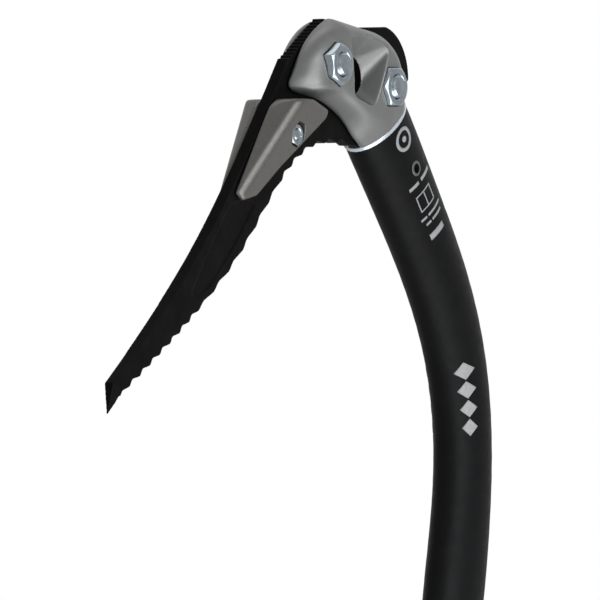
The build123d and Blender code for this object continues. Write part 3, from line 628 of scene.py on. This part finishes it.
def bolt(name, node, place, head, radius, head_seat, end):
    """The head on the right, and a threaded end with a turned-down tip on the left."""
    pitch = radius * 0.31        # of a coarse thread
    depth = pitch * 0.45
    tip_length, tip_radius = radius * 0.22, radius * 0.72
    length = end - THREAD_START
    count = int(length / pitch * THREAD_ROWS)

    def shank(angle):
        section = [(radius, -head_seat), (radius, THREAD_START)]
        for i in range(count + 1):
            y = THREAD_START + length * i / count
            phase = (y / pitch - angle / (2 * pi)) % 1.0
            run_in = min(1.0, (y - THREAD_START) / THREAD_RUN_IN)
            groove = depth * (1 - abs(2 * phase - 1)) * run_in
            down_tip = max(0.0, y - (end - tip_length))
            section.append((min(radius - groove, radius - down_tip * 0.9), y))
        for share, rise in ((0.92, 0.02), (0.5, 0.10), (0.02, 0.14)):
            section.append((tip_radius * share, end + rise))
        return section

    piece = rings(name, turned(head, place, RIGHT))
    stem = rings("stem", turned(shank, place, LEFT))
    head_mesh, stem_mesh = piece.data, stem.data
    work = bmesh.new()
    work.from_mesh(head_mesh)
    work.from_mesh(stem_mesh)
    work.to_mesh(head_mesh)
    work.free()
    bpy.data.objects.remove(stem)
    stand_for(piece, node)


for end_name, place, turn in (("front", FRONT_BOLT, FRONT_TURN), ("rear", REAR_BOLT, REAR_TURN)):
    hex_nut(f"{end_name}_m8_nut", f"{end_name}_pick_nut", place, turn, M8_RADIUS, M8_FLATS,
            M8_NUT_SEAT, height=6.3)
    bolt(f"{end_name}_m8_bolt", f"{end_name}_pick_bolt", place,
         lambda angle: socket_profile(angle, turn, M8_HEAD_RADIUS, M8_HEAD_SEAT, 3.6, 5.0),
         M8_RADIUS, M8_HEAD_SEAT, end=14.7)
hex_nut("small_m4_nut", "weight_nut", WEIGHT_BOLT, WEIGHT_TURN, M4_RADIUS, M4_FLATS, M4_SEAT,
        height=3.2)
bolt("small_m4_bolt", "weight_bolt", WEIGHT_BOLT,
     lambda angle: hex_profile(angle, WEIGHT_TURN, M4_FLATS, M4_SEAT, 2.8, 0.02, 0.0)[1:-1],
     M4_RADIUS, M4_SEAT, end=8.3)

# The head's cross pin, which has a blind hole in each end.
pin_end, pin_hole_depth, pin_hole_edge = 9.95, 5.0, 1.7
pin_half = [
    (0.02, pin_end - pin_hole_depth), (1.5, pin_end - pin_hole_depth),
    (1.6, pin_end - 0.1), (1.75, pin_end),
    (2.45, pin_end), (2.7, pin_end - 0.1), (2.75, pin_end - 0.3),
]
pin_section = pin_half + [(radius, -y) for radius, y in reversed(pin_half)]
pin_place = NECK - NECK_UP * 20.6
pin_axis = (pin_place.x, pin_place.z)
cross_pin = rings("head_cross_pin", turned(lambda angle: pin_section, pin_axis, LEFT))
# The bottom of the hole in each end of the pin takes the black coating's colour as painted shade.
paint_hollow_shade(stand_for(cross_pin, "head_pin"), pin_axis, pin_hole_edge)

# ---- Handle -------------------------------------------------------------------------
HANDLE = Vector((76.3, 0.0, -183.0))
HANDLE_TILT = radians(10.0)
HANDLE_UP = Vector((sin(HANDLE_TILT), 0.0, cos(HANDLE_TILT)))
HANDLE_BACK = Vector((cos(HANDLE_TILT), 0.0, -sin(HANDLE_TILT)))
HANDLE_STEPS = 320       # points round the handle
GRIP_TOP, GRIP_BOTTOM = 112.0, 234.0     # mm down the handle
GRIP_ROWS = 400
GRIP_HALF_WIDTH, GRIP_HALF_DEPTH = 16.7, 10.9
BORE_HALF_WIDTH, BORE_HALF_DEPTH = 14.85, 9.05
SCALLOP_RADIUS, SCALLOP_DEPTH = 30.0, 1.2
RIB_PITCH, SQUARE_TURN, MOULDING_DEPTH, END_RADIUS = 3.4, radians(9.0), 0.45, 1.1
scallop_middles = [GRIP_TOP + 20.5 + 27.0 * number for number in range(4)]


def smooth_step(value, low, high):
    """Rises from 0 at low to 1 at high."""
    t = min(1.0, max(0.0, (value - low) / (high - low)))
    return t * t * (3 - 2 * t)


def handle_loop(down, half_width, half_depth, shape=None):
    """Points round the handle, from its back over the left side. shape(angle) gives how deep
    the surface is sunk there, in mm."""
    middle = HANDLE - HANDLE_UP * down
    loop = []
    for angle in around(HANDLE_STEPS):
        sunk = shape(angle) if shape else 0.0
        back, left = (half_width - sunk) * cos(angle), (half_depth - sunk) * sin(angle)
        loop.append(middle + HANDLE_BACK * back - Vector((0.0, left, 0.0)))
    return loop


def grip_depth(down, angle):
    """How deep the grip's moulding is sunk: finger hollows in front, ribs on the sides, a
    field of small squares behind, and a plain band at each end."""
    from_end = min(down - GRIP_TOP, GRIP_BOTTOM - down)
    rounded = END_RADIUS - (END_RADIUS**2 - max(0.0, END_RADIUS - from_end) ** 2) ** 0.5
    hollow = 0.0
    for middle in scallop_middles:
        off = abs(down - middle)
        if off < SCALLOP_RADIUS:
            arc = (SCALLOP_RADIUS**2 - off**2) ** 0.5
            hollow = max(hollow, SCALLOP_DEPTH - SCALLOP_RADIUS + arc)
    hollow *= smooth_step(-cos(angle), 0.55, 0.9)
    field = smooth_step(from_end, 6.0, 6.6)
    down_rib = abs(((down - GRIP_TOP) / RIB_PITCH) % 1.0 - 0.5)
    across_square = abs((angle / SQUARE_TURN) % 1.0 - 0.5)
    ribs = smooth_step(down_rib, 0.30, 0.40) * smooth_step(abs(sin(angle)), 0.45, 0.52)
    squares = max(smooth_step(down_rib, 0.32, 0.40), smooth_step(across_square, 0.32, 0.42))
    squares *= smooth_step(cos(angle), 0.80, 0.86)
    return rounded + hollow + MOULDING_DEPTH * field * max(ribs, squares)


grip_loops = []
for i in range(GRIP_ROWS + 1):
    down = GRIP_TOP + (GRIP_BOTTOM - GRIP_TOP) * i / GRIP_ROWS
    grip_loops.append(
        handle_loop(down, GRIP_HALF_WIDTH, GRIP_HALF_DEPTH, lambda angle: grip_depth(down, angle))
    )
for down in (GRIP_BOTTOM, GRIP_TOP):
    grip_loops.append(handle_loop(down, BORE_HALF_WIDTH, BORE_HALF_DEPTH))
stand_for(rings("moulded_grip", grip_loops, closed=True), "grip_sleeve")

# The other pieces keep the shape of their node, rebuilt at a voxel in mm and rubbed round.
for piece_name, node_name, voxel, rounds in (
    ("moulded_finger_rest", "finger_rest", 0.35, 5), ("moulded_hand_rest", "hand_rest", 0.35, 5),
    ("clamp_lever_body", "clamp_lever", 0.25, 4), ("clamp_pad_body", "clamp_pad", 0.25, 2),
    ("lever_pivot_pin", "lever_pin", 0.15, 1), ("handle_end_plug", "handle_plug", 0.3, 2),
    ("plug_cross_pins", "plug_pins", 0.2, 1), ("ground_spike", "spike", 0.25, 1),
    ("stub_spacer", "cheek_spacer", 0.3, 1), ("hand_rest_cap_screw", "hand_rest_screw", 0.12, 1),
    ("hand_rest_hex_nut", "hand_rest_nut", 0.12, 1),
):
    softened_node(piece_name, node_name, voxel, rounds)

# ---- Marks printed on the shaft -----------------------------------------------------
PRINT_LIFT, PRINT_THICKNESS = 0.05, 0.1
TURN_PER_MM = 4.4        # degrees round the tube's side for each mm across it
shaft_work = bmesh.new()
shaft_work.from_mesh(nodes["shaft_tube"].data)
shaft_skin = BVHTree.FromBMesh(shaft_work)
shaft_work.free()


def on_tube(middle, up, turn):
    """The place of a print on the shaft's skin, at a turn in degrees from its back."""
    back, left = Vector((0.0, 1.0, 0.0)).cross(up), Vector((0.0, -1.0, 0.0))
    way = (back * cos(radians(turn)) * 1.5 + left * sin(radians(turn))).normalized()
    hit, normal, _, _ = shaft_skin.ray_cast((middle + way * 60) * MM, -way)
    return hit / MM + normal * PRINT_LIFT


def neck_mark(along, sideways):
    """A place on the left of the straight top of the shaft: mm down it and mm to the back."""
    return on_tube(NECK - NECK_UP * along, NECK_UP, 90.0 - sideways * TURN_PER_MM)


def printed(name, patches):
    """Thin prints from grids of points, given row by row."""
    corners, faces = [], []
    for rows in patches:
        start, width = len(corners), len(rows[0])
        corners += [point for row in rows for point in row]
        for i in range(len(rows) - 1):
            for k in range(width - 1):
                a = start + i * width + k
                faces.append((a, a + 1, a + width + 1, a + width))
    mesh = bpy.data.meshes.new(name)
    mesh.from_pydata([corner * MM for corner in corners], [], faces)
    piece = link(name, mesh)
    work = bmesh.new()
    work.from_mesh(mesh)
    bmesh.ops.remove_doubles(work, verts=work.verts, dist=1e-6)
    bmesh.ops.recalc_face_normals(work, faces=work.faces)
    work.to_mesh(mesh)
    work.free()
    settle(piece, ("SOLIDIFY", {"thickness": PRINT_THICKNESS * MM, "offset": 0.0}))
    piece.data.materials.clear()
    piece.data.materials.append(mark_paint)
    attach(piece, nodes["shaft_tube"]["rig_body"])


def bar(along, start, end, thick):
    """A bar across the shaft, at a distance down it."""
    return [
        [neck_mark(along + side * thick / 2, start + (end - start) * i / 10) for i in range(11)]
        for side in (-1, 1)
    ]


def ring_mark(along, sideways, inner, outer):
    """A ring on the shaft's side, from an inner to an outer radius."""
    angles = around(48) + [2 * pi]
    return [
        [neck_mark(along + r * sin(angle), sideways + r * cos(angle)) for angle in angles]
        for r in (inner, outer)
    ]


marks = [ring_mark(7.6, -0.3, 3.0, 4.3), ring_mark(7.6, -0.3, 0.05, 1.1)]
marks += [bar(25.4, -6.5, -1.5, 1.3), bar(25.4, 0.0, 7.0, 1.3)]
marks += [bar(29.6, -5.2, 3.2, 0.5), bar(35.6, -5.2, 3.2, 0.5)]
for sideways in (-5.0, -1.0, 3.0):
    marks.append([
        [neck_mark(29.6 + i, sideways + side * 0.25) for i in range(7)] for side in (-1, 1)
    ])
marks += [bar(38.6, -6.6, -3.6, 0.9), bar(38.6, -2.8, 5.8, 0.9)]
marks += [bar(41.2, -5.2, -2.6, 0.9), bar(41.2, -1.8, 4.6, 0.9), bar(46.4, -5.6, 2.4, 2.4)]
printed("shaft_marks", marks)


def bend_place(level):
    """The shaft's middle line at a level in its bend, and the direction up it."""
    start, end = Vector((76.0, 0.0, -93.5)), Vector((82.7, 0.0, -130.0))
    t = (start.z - level) / (start.z - end.z)
    middle = start.lerp(end, t) + Vector((1.6 * 4 * t * (1 - t), 0.0, 0.0))
    lean = radians(-17.0 + 14.0 * t)
    return middle, Vector((sin(lean), 0.0, cos(lean)))


def diamond(level, half_height, half_turn, turn):
    """A diamond on the bend of the shaft, at a level and a turn from its back."""
    shares = [k / 4 for k in range(-4, 5)]
    rows = []
    for share in shares:
        reach = max(0.02, 1 - abs(share))
        middle, up = bend_place(level + share * half_height)
        rows.append([on_tube(middle, up, turn + half_turn * reach * k) for k in shares])
    return rows


for side_name, turn in (("left", 122.0), ("right", -122.0)):
    printed(f"{side_name}_diamonds", [
        diamond(-100.5 - 7.0 * i, 3.2, 22.0 - 2.0 * i, turn) for i in range(4)
    ])

# ---- Shading of the new pieces ------------------------------------------------------
for piece in scene.objects:
    if piece.type == "MESH" and "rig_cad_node" not in piece:
        piece.data.shade_smooth()
        if piece.name.endswith(("_nut", "_bolt")):
            piece.data.set_sharp_from_angle(angle=radians(38))

# ---- Floor, light and camera --------------------------------------------------------
floor_mesh = bpy.data.meshes.new("floor")
half_floor, floor_level = 4.0, cad_box[0][2] - 0.001
floor_corners = [
    (x * half_floor, y * half_floor, floor_level) for x, y in ((-1, -1), (1, -1), (1, 1), (-1, 1))
]
floor_mesh.from_pydata(floor_corners, [], [(0, 1, 2, 3)])
floor = link("floor", floor_mesh)
floor_paper = finish(
    "floor_paper", (0.82, 0.82, 0.82), 0.9, mottle=0.01, mottle_size=40, grain=0.8, bump=0.02,
)
floor_mesh.materials.append(floor_paper)

VIEW_AZIMUTH = radians(-57.0)
away = Vector((-sin(VIEW_AZIMUTH), cos(VIEW_AZIMUTH), 0.0))
across = Vector((cos(VIEW_AZIMUTH), sin(VIEW_AZIMUTH), 0.0))
up = Vector((0.0, 0.0, 1.0))
head_centre = Vector((0.0, 0.0, -0.02))


def softbox(name, offset, size, power, colour=(1.0, 1.0, 1.0)):
    """A rectangular lamp at an offset from the head's centre, pointed at it."""
    lamp = bpy.data.lights.new(name, "AREA")
    lamp.shape = "RECTANGLE"
    lamp.size, lamp.size_y = size
    lamp.energy = power
    lamp.color = colour
    thing = bpy.data.objects.new(name, lamp)
    scene.collection.objects.link(thing)
    thing.visible_camera = False
    thing.location = head_centre + offset
    thing.rotation_euler = (-offset).to_track_quat("-Z", "Y").to_euler()


softbox("key_box", across * 0.80 - away * 0.75 + up * 0.10, (0.7, 1.1), 7.9, (0.96, 0.99, 1.0))
softbox("low_box", across * 0.21 - away * 0.14 - up * 0.28, (0.32, 0.32), 0.72)
softbox("top_box", away * 0.15 - across * 0.1 + up * 1.15, (1.0, 0.6), 1.7)

world = bpy.data.worlds.new("studio")
scene.world = world
world.use_nodes = True
tree = world.node_tree
background = tree.nodes["Background"]
way = tree.nodes.new("ShaderNodeTexCoord").outputs["Generated"]
facing = tree.nodes.new("ShaderNodeVectorMath")
facing.operation = "DOT_PRODUCT"
facing.inputs[1].default_value = (away + up * 0.4).normalized()
tree.links.new(way, facing.inputs[0])
half = tree.nodes.new("ShaderNodeMath")
half.operation = "MULTIPLY_ADD"
half.inputs[1].default_value = 0.5
half.inputs[2].default_value = 0.5
tree.links.new(facing.outputs["Value"], half.inputs[0])
surround = ramp(
    tree, half.outputs[0],
    ((0.0, 0.40), (0.30, 0.50), (0.50, 0.50), (0.66, 0.42), (0.95, 0.75)),
)
seen = tree.nodes.new("ShaderNodeLightPath").outputs["Is Camera Ray"]
tree.links.new(mix(tree, seen, surround, (1.0, 1.0, 1.0)), background.inputs["Color"])

camera = bpy.data.cameras.new("camera")
camera_object = bpy.data.objects.new("camera", camera)
scene.collection.objects.link(camera_object)
camera_back, camera_left, camera_down = 2.0, 0.0130, 0.0771      # m from the clip hole
camera_object.location = -(away * camera_back + across * camera_left + up * camera_down)
camera_object.rotation_euler = Matrix((across, up, -away)).transposed().to_euler()
camera.lens = 348.0
camera.sensor_width = 36.0
scene.camera = camera_object
scene.view_settings.view_transform = "Standard"
